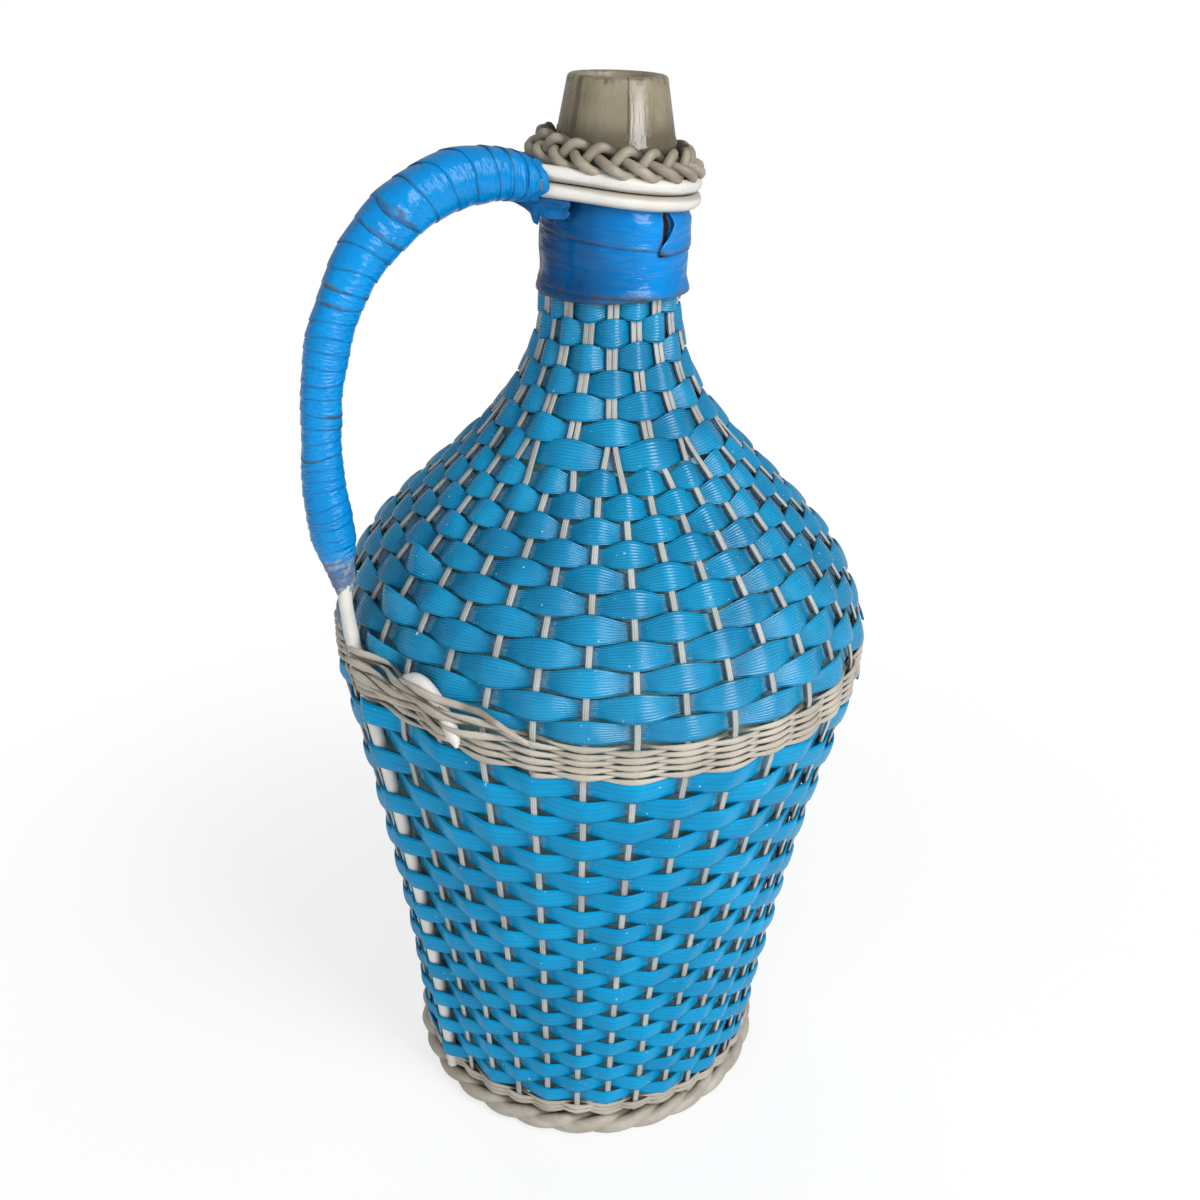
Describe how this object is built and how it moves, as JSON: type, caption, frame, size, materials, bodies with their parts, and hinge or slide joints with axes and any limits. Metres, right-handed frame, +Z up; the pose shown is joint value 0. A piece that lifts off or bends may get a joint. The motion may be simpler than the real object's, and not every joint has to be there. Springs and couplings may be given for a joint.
{
  "type": "demijohn",
  "caption": "Narrow-necked glass demijohn in a woven plastic-strip jacket, with a tape-wound handle of looped rods, a plaited neck ring, a corded waist band and a rolled foot.",
  "frame": {"origin": "on the bottle's axis at floor level, in the middle of the foot border's flat underside", "axes": "+Z up the bottle's axis; +Y away from the side that the picture shows, so the handle stands to the left, 32 degrees in front of -X"},
  "size_m": [0.1955, 0.1956, 0.38],
  "materials": {
    "glass": "dusty greenish-grey bottle glass",
    "stake": "milky grey grooved plastic strip",
    "upper_strip": "bright blue finely ribbed plastic strip, satin",
    "lower_strip": "bright blue plastic strip, satin, dirty in the gaps",
    "cord": "beige plastic cord, soiled",
    "border": "beige twisted rim, soiled",
    "rod": "off-white plastic rod, scuffed",
    "tape": "blue vinyl tape, glossy, worn edges",
    "braid": "grey-beige plastic strand"
  },
  "bodies": {
    "root": {"stake_01": "stake", "stake_02": "stake", "stake_03": "stake", "stake_04": "stake", "stake_05": "stake", "stake_06": "stake", "stake_07": "stake", "stake_08": "stake", "stake_09": "stake", "stake_10": "stake", "stake_11": "stake", "stake_12": "stake", "stake_13": "stake", "stake_14": "stake", "stake_15": "stake", "stake_16": "stake", "stake_17": "stake", "stake_18": "stake", "stake_19": "stake", "stake_20": "stake", "stake_21": "stake", "stake_22": "stake", "stake_23": "stake", "stake_24": "stake", "stake_25": "stake", "stake_26": "stake", "stake_27": "stake", "stake_28": "stake", "stake_29": "stake", "stake_30": "stake", "stake_31": "stake", "stake_32": "stake", "stake_33": "stake", "stake_34": "stake", "stake_35": "stake", "stake_36": "stake", "stake_37": "stake", "glass_bottle": "glass", "shoulder_weaver": "upper_strip", "neck_weaver": "upper_strip", "lower_weaver_upper_length": "lower_strip", "lower_weaver_lower_length": "lower_strip", "waist_cord": "cord", "foot_cord": "cord", "foot_border": "border", "handle_rod_outer": "rod", "handle_rod_inner": "rod", "handle_tape": "tape", "neck_tape": "tape", "neck_braid_1": "braid", "neck_braid_2": "braid", "neck_braid_3": "braid"}
  },
  "joints": []
}
